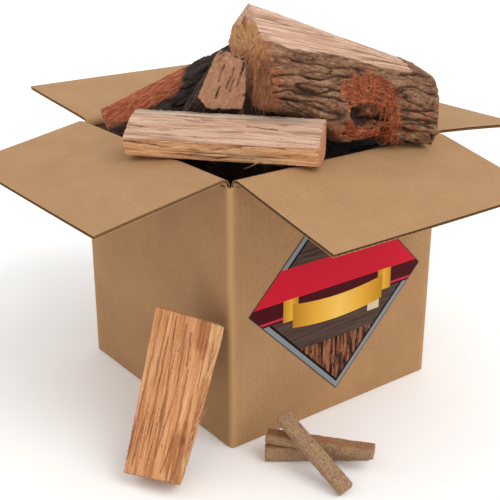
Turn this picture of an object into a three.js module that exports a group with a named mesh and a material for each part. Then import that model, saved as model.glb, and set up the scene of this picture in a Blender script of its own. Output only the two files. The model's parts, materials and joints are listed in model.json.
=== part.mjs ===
// Boxed firewood: an open corrugated carton heaped with split logs, one split leaning on its
// left wall and three pressed-fibre starter sticks lying before it. Millimetres, +Z up.
// The carton's printed wall faces -Y. All splits are built in their own frame: local +X runs
// along the grain, +Y across and +Z up, and the section outlines give [across, up].
import * as THREE from 'three';
import { ConvexGeometry } from 'three/addons/geometries/ConvexGeometry.js';

// ---- carton ---------------------------------------------------------------------------------
const CARTON_WIDTH = 313;          // outside, both ways
const BOARD = 4;                   // C-flute corrugated board
const CREASE_HEIGHT = 317;         // height of the four top flap creases above the floor
const CORNER_RADIUS = 8;           // where the board folds round a vertical corner
const FLAP_REACH = 156;            // from the crease to the free edge
const FLAP_WIDTH = 303;            // along the crease, between the two corner slots
const BOTTOM_FLAP_WIDTH = 299;     // clears the rounded corners inside
const CREASE_OFFSET = 0.8;         // the crease stands this far proud of the wall
const FLAP_LIFT = 0.4;             // flap board above its crease line
const FLAP_START = 0.5;            // flap board begins this far outside its crease line
const GAP = 0.3;                   // clear gap between neighbouring solids
const FLAP_TILT = { front: -12.6, left: -10.1, back: 5, right: -5.4 };  // degrees, up is +
const LABEL_HALF = 133;            // half of the diamond label's diagonal
const LABEL_THICKNESS = 0.4;
const LABEL_HEIGHT = 158.5;        // of its middle above the floor

// ---- wood -----------------------------------------------------------------------------------
const ROW_LENGTH = 268;            // hidden splits that fill the carton
const ROW_WIDTH = 96;
const ROW_HEIGHT = 76;
const ROWS = 3;
const STICK_WIDE = 18.6;           // a starter stick's flat section
const STICK_THIN = 12.4;

const half = CARTON_WIDTH / 2;
const inside = half - BOARD;
const floorTop = 2 * BOARD + GAP;
const rad = THREE.MathUtils.degToRad;

const kraft = { color: 0xb98f5f, roughness: 0.85, metalness: 0 };
const paleWood = { color: 0xd9a982, roughness: 0.7, metalness: 0 };
const tanWood = { color: 0xc98a56, roughness: 0.7, metalness: 0 };
const bark = { color: 0x6b5142, roughness: 0.9, metalness: 0 };
const darkBark = { color: 0x6e4630, roughness: 0.9, metalness: 0 };
const fibre = { color: 0x9b7658, roughness: 0.9, metalness: 0 };
const print = { color: 0x5a1220, roughness: 0.5, metalness: 0 };

const boxed = new THREE.Group();

function addPart(name, geometry, look, parent = boxed) {
  const mesh = new THREE.Mesh(geometry, new THREE.MeshStandardMaterial(look));
  mesh.name = name;
  parent.add(mesh);
  return mesh;
}

// ---- carton: wall tube, bottom flaps, top flaps and label -----------------------------------
function roundedSquare(path, reach, radius) {
  path.moveTo(-reach + radius, -reach);
  path.lineTo(reach - radius, -reach);
  path.absarc(reach - radius, -reach + radius, radius, -Math.PI / 2, 0);
  path.lineTo(reach, reach - radius);
  path.absarc(reach - radius, reach - radius, radius, 0, Math.PI / 2);
  path.lineTo(-reach + radius, reach);
  path.absarc(-reach + radius, reach - radius, radius, Math.PI / 2, Math.PI);
  path.lineTo(-reach, -reach + radius);
  path.absarc(-reach + radius, -reach + radius, radius, Math.PI, 1.5 * Math.PI);
  return path;
}

function cartonBody() {
  const outline = roundedSquare(new THREE.Shape(), half, CORNER_RADIUS);
  outline.holes.push(roundedSquare(new THREE.Path(), inside, CORNER_RADIUS - BOARD));
  const depth = CREASE_HEIGHT - FLAP_LIFT;
  return new THREE.ExtrudeGeometry(outline, { depth, bevelEnabled: false, curveSegments: 4 });
}

// The outer pair folds in from the front and back walls and meets at a seam along X; the inner
// pair lies on it and meets along Y.
function addBottomFlaps() {
  const reach = inside - 2 * GAP - 0.5;
  for (const [name, side, layer, turn] of [
    ['bottom_flap_front', -1, 0, 0], ['bottom_flap_back', 1, 0, 0],
    ['bottom_flap_left', 1, 1, 90], ['bottom_flap_right', -1, 1, 90]]) {
    const flap = addPart(name, new THREE.BoxGeometry(BOTTOM_FLAP_WIDTH, reach, BOARD), kraft);
    const offset = new THREE.Vector3(0, side * (0.5 + reach / 2), 0);
    offset.applyAxisAngle(new THREE.Vector3(0, 0, 1), rad(turn));
    flap.rotation.z = rad(turn);
    flap.position.set(offset.x, offset.y, BOARD / 2 + layer * (BOARD + GAP));
  }
}

// Each top flap turns about its crease, so it is drawn in a group whose X axis is that crease.
function addTopFlap(name, turn, tilt) {
  const wall = new THREE.Group();
  wall.rotation.z = rad(turn);
  const crease = new THREE.Group();
  crease.position.set(0, -half - CREASE_OFFSET, CREASE_HEIGHT);
  crease.rotation.x = -rad(tilt);
  wall.add(crease);
  boxed.add(wall);
  const length = FLAP_REACH - FLAP_START;
  const flap = addPart(name, new THREE.BoxGeometry(FLAP_WIDTH, length, BOARD), kraft, crease);
  flap.position.set(0, -FLAP_START - length / 2, FLAP_LIFT + BOARD / 2);
}

function addLabel() {
  const outline = new THREE.Shape();
  outline.moveTo(0, -LABEL_HALF);
  outline.lineTo(LABEL_HALF, 0);
  outline.lineTo(0, LABEL_HALF);
  outline.lineTo(-LABEL_HALF, 0);
  const depth = LABEL_THICKNESS;
  const sheet = new THREE.ExtrudeGeometry(outline, { depth, bevelEnabled: false });
  const label = addPart('label', sheet, print);
  label.rotation.x = Math.PI / 2;
  label.position.set(0, -half - GAP, LABEL_HEIGHT);
}

addPart('carton_body', cartonBody(), kraft);
addBottomFlaps();
addTopFlap('flap_front', 0, FLAP_TILT.front);
addTopFlap('flap_right', 90, FLAP_TILT.right);
addTopFlap('flap_back', 180, FLAP_TILT.back);
addTopFlap('flap_left', 270, FLAP_TILT.left);
addLabel();

// ---- split logs -----------------------------------------------------------------------------
// A split is the convex body between its two end sections. Each section point is
// [across, up] or [across, up, setBack], where setBack shortens the log at that point.
function splitGeometry(length, nearEnd, farEnd) {
  const points = [];
  for (const [across, up, setBack = 0] of nearEnd) {
    points.push(new THREE.Vector3(setBack, across, up));
  }
  for (const [across, up, setBack = 0] of farEnd) {
    points.push(new THREE.Vector3(length - setBack, across, up));
  }
  return new ConvexGeometry(points);
}

// at: the place of the local origin; yaw turns about +Z, pitch lifts the far end, roll tips
// the section about the grain.
function place(mesh, [x, y, z], yaw, pitch = 0, roll = 0) {
  mesh.rotation.order = 'ZYX';
  mesh.rotation.set(rad(roll), rad(-pitch), rad(yaw));
  mesh.position.set(x, y, z);
}

// Lies across the carton's near corner, on the front and left creases.
const acrossCorner = splitGeometry(216,
  [[0, 0], [-7, 21], [20, 38], [42, 44], [43, 8], [34, 0]],
  [[0, 0], [-7, 23], [20, 39], [41, 44], [42, 8], [34, 0]]);
place(addPart('split_across_corner', acrossCorner, paleWood), [-199.5, -20, 321.9], -50.3);

// The big quarter with bark on its outer side, its left end raised on the heap.
const barkQuarter = splitGeometry(216,
  [[0, 0], [-18, -10], [-38, -30, 4], [-45, -56, 9], [-30, -66, 12], [6, -74, 12],
    [60, -60, 12], [98, -21], [96, 0], [61, 31]],
  [[0, 0], [-18, -5], [-36, -24], [-51, -56], [-46, -74], [4, -71.5], [48, -52], [72, -22],
    [43, 5]]);
place(addPart('split_bark_quarter', barkQuarter, bark), [-65, -90, 445], -17.2, -14);

// Stands on its far end inside, its slanted sawn end leaning out towards the near corner.
const sawnEnd = splitGeometry(165,
  [[-1, 31, -14], [-21, 9, -24], [-14, -26], [-9, -36, 10], [20, -14, 32], [25, 2, 29],
    [4, 29, -7]],
  [[0, 28], [-22, 10], [-20, -24], [-8, -36], [22, -18], [28, 6], [18, 24]]);
place(addPart('split_sawn_end', sawnEnd, paleWood), [-92, -63, 400], 86, -47);

// The dark log that rises from the left corner behind the other two.
const darkLog = splitGeometry(205,
  [[0, 0, 4], [-10, -8], [-26, -34], [-18, -54], [12, -56], [20, -34], [16, -6]],
  [[0, 0], [-26, -10], [-38, -34], [-24, -52], [16, -54], [36, -32], [26, -10]]);
place(addPart('split_dark_bark', darkLog, darkBark), [-147, 132, 337], -27.2, 25.1);

// Stands on the floor and leans on the left wall; local +X points up the grain.
const leaning = splitGeometry(181,
  [[0, 0], [-70, 0, 3], [-56, -34, 2], [-32, -36, 1], [-6, -34]],
  [[4, 0], [-75, 0, 6], [-71, -33, 8], [-38, -39, 5], [0, -29]]);
place(addPart('split_leaning', leaning, tanWood), [-290.7, -142.5, 16.85], 29, 60.6);

// ---- the heap inside ------------------------------------------------------------------------
// Rows of splits fill the carton, each row crossing the one below. Their sections take turns
// between a quarter, a half-round and a blunt wedge.
const ROW_SHAPES = [
  [[-0.5, -0.5], [0.5, -0.5], [0.46, 0.1], [0.2, 0.42], [-0.12, 0.5], [-0.46, 0.36]],
  [[-0.5, -0.3], [-0.3, -0.5], [0.4, -0.5], [0.5, -0.1], [0.34, 0.5], [-0.3, 0.5], [-0.5, 0.2]],
  [[-0.44, -0.5], [0.46, -0.5], [0.5, 0.3], [0.36, 0.5], [-0.36, 0.44], [-0.5, 0]],
];

function rowSection(shape, width, height) {
  return shape.map(([across, up]) => [across * width, up * height]);
}

function addRows() {
  for (let row = 0; row < ROWS; row += 1) {
    const group = new THREE.Group();
    group.rotation.z = rad(90 * (row % 2));
    group.position.z = floorTop + 1 + ROW_HEIGHT / 2 + row * (ROW_HEIGHT + 1);
    boxed.add(group);
    for (let column = 0; column < 3; column += 1) {
      const shape = ROW_SHAPES[(row + column) % ROW_SHAPES.length];
      const length = ROW_LENGTH - 12 * ((row + 2 * column) % 3);
      const near = rowSection(shape, ROW_WIDTH, ROW_HEIGHT);
      const far = rowSection(shape, ROW_WIDTH - 8, ROW_HEIGHT - 6);
      const name = `split_row${row + 1}_${column + 1}`;
      const log = addPart(name, splitGeometry(length, near, far), tanWood, group);
      log.position.set(-length / 2, (column - 1) * (ROW_WIDTH + 3), 0);
    }
  }
}

addRows();

// The top layer, seen through the mouth: [name, x of the left end, y, width, height, length].
const topFloor = floorTop + 1 + ROWS * (ROW_HEIGHT + 1) + 1;
for (const [name, x, y, width, height, length, shape] of [
  ['split_top_front', -22, -108, 74, 75, 168, 2],
  ['split_top_middle', -34, -24, 70, 68, 182, 0],
  ['split_top_inner', -34, 50, 68, 74, 180, 1],
  ['split_top_back', -30, 118, 60, 72, 176, 0]]) {
  const near = rowSection(ROW_SHAPES[shape], width, height);
  const far = rowSection(ROW_SHAPES[shape], width - 6, height - 5);
  const log = addPart(name, splitGeometry(length, near, far), tanWood);
  log.position.set(x, y, topFloor + height / 2);
}

// Two more lie on the top layer and carry the bark quarter and the dark log.
const underQuarter = splitGeometry(168, rowSection(ROW_SHAPES[1], 62, 60),
  rowSection(ROW_SHAPES[1], 58, 54));
place(addPart('split_heap_front', underQuarter, tanWood), [-24, -26, 342.6], -6);
const underDark = splitGeometry(140, rowSection(ROW_SHAPES[2], 70, 40),
  rowSection(ROW_SHAPES[2], 62, 40));
place(addPart('split_heap_back', underDark, darkBark), [10, 62, 335.6], 6);

// ---- starter sticks -------------------------------------------------------------------------
// Flat pressed-fibre sticks with worn corners; local +X runs along the stick.
function stickGeometry(length, width, height) {
  const worn = 1.5;
  const w = width / 2;
  const section = [[-w + worn, 0], [w - worn, 0], [w, worn], [w, height - worn],
    [w - worn, height], [-w + worn, height], [-w, height - worn], [-w, worn]];
  return splitGeometry(length, section, section);
}

const lowest = stickGeometry(118, STICK_THIN, STICK_WIDE);
place(addPart('stick_lowest', lowest, fibre), [-139.5, -195.5, 0], -35.8);
const crossing = stickGeometry(121, STICK_WIDE, STICK_THIN);
place(addPart('stick_crossing', crossing, fibre), [-132, -189, STICK_WIDE + GAP], -52.4);
const topmost = stickGeometry(108, STICK_WIDE, STICK_THIN);
place(addPart('stick_topmost', topmost, fibre), [-110.6, -297.4, 2.1], 94, 24, -16);

// ---- frame ----------------------------------------------------------------------------------
// The origin is the middle of the whole footprint, on the floor.
boxed.updateMatrixWorld(true);
const footprint = new THREE.Box3().setFromObject(boxed, true).getCenter(new THREE.Vector3());
boxed.position.set(-footprint.x, -footprint.y, 0);

export default boxed;
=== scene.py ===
# %% [markdown]
# # Boxed firewood
# A corrugated carton stands open with its four top flaps folded out. Split logs are heaped in
# it, one more split leans on its left wall, and three pressed-fibre starter sticks lie in
# front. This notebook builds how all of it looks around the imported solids. Every place comes
# from those solids: their boxes, their flat faces and the crease hinges in the record.

# %% Load the frame and keep its box
import itertools
import json
import math
import random

import bpy
import numpy as np
from mathutils import Euler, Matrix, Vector


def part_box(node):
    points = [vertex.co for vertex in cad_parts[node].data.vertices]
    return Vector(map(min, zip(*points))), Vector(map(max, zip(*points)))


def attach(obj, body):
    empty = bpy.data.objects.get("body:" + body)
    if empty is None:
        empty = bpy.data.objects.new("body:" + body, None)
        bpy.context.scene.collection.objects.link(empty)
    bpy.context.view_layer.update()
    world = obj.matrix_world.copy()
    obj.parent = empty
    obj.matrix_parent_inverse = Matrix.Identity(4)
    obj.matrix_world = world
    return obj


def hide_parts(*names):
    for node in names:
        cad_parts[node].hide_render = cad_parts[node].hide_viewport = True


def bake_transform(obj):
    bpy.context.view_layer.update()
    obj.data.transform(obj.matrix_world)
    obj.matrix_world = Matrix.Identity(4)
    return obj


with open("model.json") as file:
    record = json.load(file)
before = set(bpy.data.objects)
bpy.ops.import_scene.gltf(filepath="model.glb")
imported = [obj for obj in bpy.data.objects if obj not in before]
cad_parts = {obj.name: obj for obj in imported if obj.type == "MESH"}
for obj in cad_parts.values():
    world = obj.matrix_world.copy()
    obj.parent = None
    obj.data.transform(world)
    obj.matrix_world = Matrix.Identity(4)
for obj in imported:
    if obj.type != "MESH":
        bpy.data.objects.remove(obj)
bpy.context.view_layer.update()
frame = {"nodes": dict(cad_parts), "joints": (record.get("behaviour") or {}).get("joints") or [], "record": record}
MM = 0.001
scene = bpy.context.scene
carton_low, carton_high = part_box("carton_body")
carton_middle = (carton_low + carton_high) / 2
SLOT_OF = {part["node"]: part["material_slot"] for part in frame["record"]["subparts"]}
print("carton", [round(side / MM, 1) for side in carton_high - carton_low], "mm")

# %% [markdown]
# ## Camera, floor and light
# The carton is seen corner on from a little above, through a longish lens, so that its edges
# stay almost parallel. A wide pale floor fills the whole picture. The light is that of a
# studio tent: an even white sky, and one very large soft light high on the right in front,
# which makes the printed wall lighter than the left one. The soft light is a sun with a wide
# disc, because a near lamp would leave the far floor grey.

# %% Camera
LENS = 69.67                                   # mm, on a sensor 36 mm wide
CAMERA_STANDS = (-0.7072, -0.9151, 0.6194)     # metres from the middle of the carton's foot
LOOKS_DOWN, LOOKS_ROUND = 21.826, -37.24       # degrees
camera_data = bpy.data.cameras.new("camera")
camera_data.lens = LENS
camera_data.sensor_width = 36.0
camera = bpy.data.objects.new("camera", camera_data)
camera_foot = Vector((carton_middle.x, carton_middle.y, 0))
camera.location = camera_foot + Vector(CAMERA_STANDS)
camera.rotation_euler = Euler((math.radians(90 - LOOKS_DOWN), 0, math.radians(LOOKS_ROUND)))
scene.collection.objects.link(camera)
scene.camera = camera
print("camera stands", round((camera.location - camera_foot).length, 3), "m from the carton")


# %% One function turns a paint code to linear colour, one adds a node
def paint(code):
    """sRGB hex, such as "c8a070", to the linear RGBA that shaders take."""
    parts = [int(code[i:i + 2], 16) / 255 for i in (0, 2, 4)]
    linear = [c / 12.92 if c <= 0.04045 else ((c + 0.055) / 1.055) ** 2.4 for c in parts]
    return (*linear, 1.0)


def add(tree, kind, settings=(), inputs=()):
    """Adds a node with its settings. An input is a number, a colour or another node's output.
    A ramp is given as a list of (place, paint code)."""
    node = tree.nodes.new(kind)
    for name, value in dict(settings).items():
        if name == "ramp":
            stops = node.color_ramp.elements
            for _ in value[2:]:
                stops.new(0.5)
            for stop, (place, code) in zip(stops, value):
                stop.position = place
                stop.color = paint(code)
        else:
            setattr(node, name, value)
    for name, value in dict(inputs).items():
        if isinstance(value, bpy.types.NodeSocket):
            tree.links.new(value, node.inputs[name])
        else:
            node.inputs[name].default_value = value
    return node


def new_material(name):
    """An empty node material, with its shader and output already joined."""
    material = bpy.data.materials.new(name)
    material.use_nodes = True
    tree = material.node_tree
    return material, tree, tree.nodes["Principled BSDF"]


# The colour mix node's sockets: share, first colour, second colour, and its colour output.
SHARE, FIRST, SECOND, MIXED = 0, 6, 7, 2


# %% [markdown]
# The floor is a matt painted board, so pale that the light on it nearly reaches white. It
# only carries the soft shadow under the carton, the leaning split and the sticks.

# %% Floor and lights
floor_paint, tree, shader = new_material("matt_white_painted_board")
mottle = add(tree, "ShaderNodeTexNoise", inputs={"Scale": 3.0, "Detail": 2.0})
tone = add(tree, "ShaderNodeValToRGB", {"ramp": [(0.3, "fbfbfa"), (0.7, "fefefd")]},
           {"Fac": mottle.outputs["Fac"]})
tree.links.new(tone.outputs["Color"], shader.inputs["Base Color"])
shader.inputs["Roughness"].default_value = 0.9
shader.inputs["Specular IOR Level"].default_value = 0.2

FLOOR_REACH = 9.0       # metres each way
FLOOR_TOP = -0.0002     # just clear of the faces that stand on it
corners = [(-1, -1), (1, -1), (1, 1), (-1, 1)]
floor_mesh = bpy.data.meshes.new("floor")
floor_mesh.from_pydata([(x * FLOOR_REACH, y * FLOOR_REACH, FLOOR_TOP) for x, y in corners],
                       [], [(0, 1, 2, 3)])
floor_mesh.materials.append(floor_paint)
floor = bpy.data.objects.new("floor", floor_mesh)
scene.collection.objects.link(floor)

world = bpy.data.worlds.new("studio_tent")
world.use_nodes = True
sky = world.node_tree.nodes["Background"]
sky.inputs["Color"].default_value = paint("ffffff")
sky.inputs["Strength"].default_value = 1.0
scene.world = world

TENT_ENERGY = 1.15
TENT_DISC = 42                        # degrees across, which softens every shadow
TENT_FROM = Vector((0.20, -0.66, 0.74))
tent_data = bpy.data.lights.new("soft_tent_light", "SUN")
tent_data.energy = TENT_ENERGY
tent_data.angle = math.radians(TENT_DISC)
tent_light = bpy.data.objects.new("soft_tent_light", tent_data)
tent_light.rotation_euler = TENT_FROM.to_track_quat("Z", "Y").to_euler()
scene.collection.objects.link(tent_light)
scene.view_settings.view_transform = "Standard"

# %% [markdown]
# ## Corrugated board
# The carton is C-flute board, 4 mm thick: two sheets of brown kraft liner with a wavy medium
# glued between them, a wave every 7.6 mm. A plain slab would show a blank edge. Here each of
# the three sheets is a thin closed shell of its own, so the cut edge of a flap shows the real
# row of little arches. A board is described by a function that gives the point at a distance
# along it, a distance out from the crease and a height from its middle layer.

# %% Thin closed shells from grids of points
LINER = 0.45 * MM
FLUTE = 7.6 * MM
HALF = (carton_high.x - carton_low.x) / 2
BOARD = HALF * 8 / 313                       # 4 mm in a carton 313 mm wide


class BoardLists:
    """Vertices and faces of several thin shells. Every vertex also keeps its distance across the waves, whether it
    is on the wavy medium, and how much its liner is painted paler at a fold, which is partly rubbing and partly a
    painted highlight where the rounded corner catches the light."""

    def __init__(self):
        self.vertices, self.faces = [], []
        self.run, self.medium, self.outside, self.rub = [], [], [], []

    def shell(self, upper, lower, runs, medium=0.0, outside=0.0, rub_and_highlight_shares=None):
        """A closed sheet between two equal grids of points, rows by columns."""
        rows, columns = len(upper), len(upper[0])
        start, layer = len(self.vertices), rows * columns
        for grid in (upper, lower):
            for row in grid:
                self.vertices.extend(row)
                self.run.extend(runs)
                self.rub.extend(rub_and_highlight_shares or [0.0] * columns)
        self.medium.extend([medium] * (2 * layer))
        self.outside.extend([outside] * (2 * layer))

        def at(side, row, column):
            return start + side * layer + row * columns + column

        for r in range(rows - 1):
            for c in range(columns - 1):
                quad = [(r, c), (r, c + 1), (r + 1, c + 1), (r + 1, c)]
                self.faces.append([at(0, *q) for q in quad])
                self.faces.append([at(1, *q) for q in reversed(quad)])
        rim = [(0, c) for c in range(columns)] + [(r, columns - 1) for r in range(1, rows)]
        rim += [(rows - 1, c) for c in range(columns - 2, -1, -1)]
        rim += [(r, 0) for r in range(rows - 2, 0, -1)]
        for one, two in zip(rim, rim[1:] + rim[:1]):
            self.faces.append([at(0, *one), at(1, *one), at(1, *two), at(0, *two)])

    def piece(self, name, material):
        board = finish_mesh(name, self.vertices, self.faces, material)
        store(board, "wave_run", self.run)
        store(board, "medium", self.medium)
        store(board, "outside", self.outside)
        store(board, "rub", self.rub)
        return board


def finish_mesh(name, vertices, faces, material, sharp_degrees=38):
    """A smooth-shaded mesh object from lists, with its material."""
    mesh = bpy.data.meshes.new(name)
    mesh.from_pydata([tuple(v) for v in vertices], [], faces)
    mesh.materials.append(material)
    mesh.shade_smooth()
    mesh.set_sharp_from_angle(angle=math.radians(sharp_degrees))
    piece = bpy.data.objects.new(name, mesh)
    scene.collection.objects.link(piece)
    return piece


def store(piece, name, values, kind="FLOAT"):
    """Keeps one number, or one vector, for every vertex of a piece."""
    layer = piece.data.attributes.new(name, kind, "POINT")
    field = "value" if kind == "FLOAT" else "vector"
    layer.data.foreach_set(field, np.asarray(values, np.float32).ravel())


print("board", round(BOARD / MM, 2), "mm thick with a wave every", round(FLUTE / MM, 1), "mm")

# %% [markdown]
# Every finish here is built up as a painter would do it: a base colour first, and then thin
# coats laid where something shows, such as a rubbed fold, a crack or a patch of bark. The
# same few lines serve the board, the label, the oak and the sticks.


# %% Coats of colour over each other
def painted(tree, base, coats):
    """Lays coats over a base colour, one after another. A coat is (value, span, strength,
    colour): it covers as value passes smoothly through span, or by value itself where span
    is None, and strength thins it. Values and strengths are numbers or outputs."""
    for value, span, strength, colour in coats:
        if span:
            value = add(tree, "ShaderNodeMapRange", {"interpolation_type": "SMOOTHSTEP"}, {
                "Value": value, "From Min": span[0], "From Max": span[1]}).outputs["Result"]
        amount = add(tree, "ShaderNodeMath", {"operation": "MULTIPLY", "use_clamp": True},
                     {0: value, 1: strength}).outputs[0]
        base = add(tree, "ShaderNodeMix", {"data_type": "RGBA"}, {
            SHARE: amount, FIRST: base, SECOND: colour}).outputs[MIXED]
    return base


print("coats ready")

# %% [markdown]
# Kraft liner is unbleached paper: a soft brown with a faint cloudiness, tiny darker and lighter fibres, and almost
# no shine. The waves behind it show through as very faint stripes. Round the folded corners of the walls the liner
# is painted paler: partly rubbed paper, partly a painted highlight where the rounded corner catches the light. The
# outer liner is a shade yellower and darker than the inner one, which is what the open flaps show. The medium is
# the same paper in the shade of its own arches, so it gets a deeper brown.


# %% Kraft paper
def kraft_paper(name, inner_light, inner_dark, outer_light, outer_dark):
    """Unbleached kraft liner: matt, cloudy, with short fibres, which reads as brown board."""
    material, tree, shader = new_material(name)
    place = add(tree, "ShaderNodeTexCoord").outputs["Object"]
    run = add(tree, "ShaderNodeAttribute", {"attribute_name": "wave_run"}).outputs["Fac"]
    inner = add(tree, "ShaderNodeAttribute", {"attribute_name": "medium"}).outputs["Fac"]
    rub = add(tree, "ShaderNodeAttribute", {"attribute_name": "rub"}).outputs["Fac"]
    cloud = add(tree, "ShaderNodeTexNoise", inputs={
        "Vector": place, "Scale": 1 / (45 * MM), "Detail": 3.0, "Roughness": 0.55})
    fibre = add(tree, "ShaderNodeTexNoise", inputs={
        "Vector": place, "Scale": 1 / (1.6 * MM), "Detail": 2.0, "Roughness": 0.7})
    outside = add(tree, "ShaderNodeAttribute", {"attribute_name": "outside"}).outputs["Fac"]
    inside_paper = add(tree, "ShaderNodeValToRGB", {
        "ramp": [(0.3, inner_dark), (0.7, inner_light)]}, {"Fac": cloud.outputs["Fac"]})
    outside_paper = add(tree, "ShaderNodeValToRGB", {
        "ramp": [(0.3, outer_dark), (0.7, outer_light)]}, {"Fac": cloud.outputs["Fac"]})
    base = painted(tree, inside_paper.outputs[0], [
        (outside, None, 1.0, outside_paper.outputs[0])])
    specks = add(tree, "ShaderNodeValToRGB", {
        "ramp": [(0.28, "b9b0a6"), (0.45, "ffffff"), (0.8, "ffffff")]},
        {"Fac": fibre.outputs["Fac"]})
    speckled = add(tree, "ShaderNodeMix", {"data_type": "RGBA", "blend_type": "MULTIPLY"}, {
        SHARE: 0.6, FIRST: base, SECOND: specks.outputs["Color"]})
    turn = add(tree, "ShaderNodeMath", {"operation": "MULTIPLY"},
               {0: run, 1: 2 * math.pi / FLUTE})
    wave = add(tree, "ShaderNodeMath", {"operation": "SINE"}, {0: turn.outputs[0]})
    washboard = add(tree, "ShaderNodeMapRange", inputs={
        "Value": wave.outputs[0], "From Min": -1.0, "To Min": 0.97, "To Max": 1.0})
    striped = add(tree, "ShaderNodeMix", {"data_type": "RGBA", "blend_type": "MULTIPLY"}, {
        SHARE: 1.0, FIRST: speckled.outputs[MIXED], SECOND: washboard.outputs["Result"]})
    # Paler at the wall folds: rubbed paper, and a painted highlight on the rounded corner.
    paper = painted(tree, striped.outputs[MIXED], [
        (rub, None, 1.0, paint("bd9565")), (inner, None, 1.0, paint("7d5b3a"))])
    tree.links.new(paper, shader.inputs["Base Color"])
    shader.inputs["Roughness"].default_value = 0.82
    shader.inputs["Specular IOR Level"].default_value = 0.3
    height = add(tree, "ShaderNodeMath", {"operation": "MULTIPLY_ADD"},
                 {0: wave.outputs[0], 1: 0.25, 2: fibre.outputs["Fac"]})
    bump = add(tree, "ShaderNodeBump", inputs={
        "Strength": 0.25, "Distance": 0.25 * MM, "Height": height.outputs[0]})
    tree.links.new(bump.outputs["Normal"], shader.inputs["Normal"])
    return material


kraft = kraft_paper("unbleached_kraft_paper", "ac865e", "a47e57", "aa8259", "a07952")
print("made", kraft.name)

# %% [markdown]
# ## Carton walls
# The walls are one sheet of board folded round four corners and glued at a joint, so they
# are built as a tube: an outer and an inner liner that follow a rounded square, with the
# waves standing between them at the open rim. The rim sits just under the flap creases and
# is a little torn at the corner slots, where the tool cuts the flaps apart.

# %% The rounded square that the walls follow
FOLD_RADIUS = 5.5 * MM
RIM = carton_high.z - 4.4 * MM
WALL_RUN = 2 * (HALF - FOLD_RADIUS)
OUTLINE = 4 * WALL_RUN + 2 * math.pi * FOLD_RADIUS


def outline_point(distance):
    """A point and its outward direction at a distance along the outline, starting at the
    middle of the -Y side and going anticlockwise."""
    side = OUTLINE / 4
    number, along = divmod((distance + WALL_RUN / 2) % OUTLINE, side)
    if along <= WALL_RUN:
        x, y, out_x, out_y = along - WALL_RUN / 2, -HALF, 0.0, -1.0
    else:
        angle = (along - WALL_RUN) / FOLD_RADIUS - math.pi / 2
        out_x, out_y = math.cos(angle), math.sin(angle)
        x = WALL_RUN / 2 + FOLD_RADIUS * out_x
        y = -WALL_RUN / 2 + FOLD_RADIUS * out_y
    for _ in range(int(number)):
        x, y, out_x, out_y = -y, x, -out_y, out_x
    return Vector((x, y, 0)), Vector((out_x, out_y, 0))


def fold_share(distance):
    """1 in the middle of a folded corner, falling to 0 within 9 mm of it."""
    side = OUTLINE / 4
    from_corner = abs((distance % side) - side / 2)
    return max(0.0, 1 - from_corner / (9 * MM)) ** 1.5


print("outline", round(OUTLINE / MM), "mm round")


# %% Walls
def wall_rows(distances, heights, depth_of, ragged):
    """Rows of points up the wall. depth_of(distance) is how far inside the outer face."""
    chance = random.Random(5)
    torn = [chance.uniform(-1, 0.3) * ragged * (0.3 + fold_share(d)) for d in distances]
    rows = []
    for height in heights:
        top = 1.0 if height == heights[-1] else 0.0
        row = []
        for distance, rough in zip(distances, torn):
            point, out = outline_point(distance)
            at = carton_middle + point - out * depth_of(distance)
            row.append(Vector((at.x, at.y, height + rough * top)))
        rows.append(row + [row[0].copy()])
    return rows


walls = BoardLists()
steps = int(OUTLINE / (2.6 * MM))
around = [OUTLINE * i / steps for i in range(steps)]
# How much paler each folded corner is painted: rubbing, and a painted highlight where the corner catches the
# light.
rub_and_highlight_shares = [0.8 * fold_share(d) for d in around + around[:1]]
levels = [carton_low.z + 0.5 * MM, carton_low.z + 5 * MM]
levels += list(np.linspace(carton_low.z + 16 * MM, RIM - 6 * MM, 16)) + [RIM]
for outer_depth, inner_depth, outside in ((0.0, LINER, 1.0), (BOARD - LINER, BOARD, 0.0)):
    walls.shell(wall_rows(around, levels, lambda d, depth=outer_depth: depth, 2 * MM),
                wall_rows(around, levels, lambda d, depth=inner_depth: depth, 2 * MM),
                around + [OUTLINE], outside=outside, rub_and_highlight_shares=rub_and_highlight_shares)

wave_count = round(OUTLINE / FLUTE)
fine = [OUTLINE * i / (wave_count * 8) for i in range(wave_count * 8)]
ARCH = BOARD / 2 - LINER * 1.4
medium_levels = [RIM - 14 * MM, RIM - 0.6 * MM]


def medium_depth(extra):
    """Depth of the wavy medium inside the outer face."""
    turn = wave_count * 2 * math.pi / OUTLINE
    return lambda distance: BOARD / 2 + extra - ARCH * math.sin(distance * turn)


walls.shell(wall_rows(fine, medium_levels, medium_depth(-LINER * 0.35), 0.5 * MM),
            wall_rows(fine, medium_levels, medium_depth(LINER * 0.35), 0.5 * MM),
            fine + [OUTLINE], medium=1.0)
carton_walls = walls.piece("carton_walls", kraft)
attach(carton_walls, "root")
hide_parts("carton_body")
print("walls:", len(carton_walls.data.polygons), "faces")

# %% [markdown]
# ## Flaps and creases
# A flap is the same board as its wall. At the crease the board was scored, so it folds in a tight, slightly
# crushed round. Flap and crease are one piece here: its profile goes up the wall, over the crease and out along
# the flap. The free edge and the two slot edges are cut, so the free edge shows the row of arches.


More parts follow.
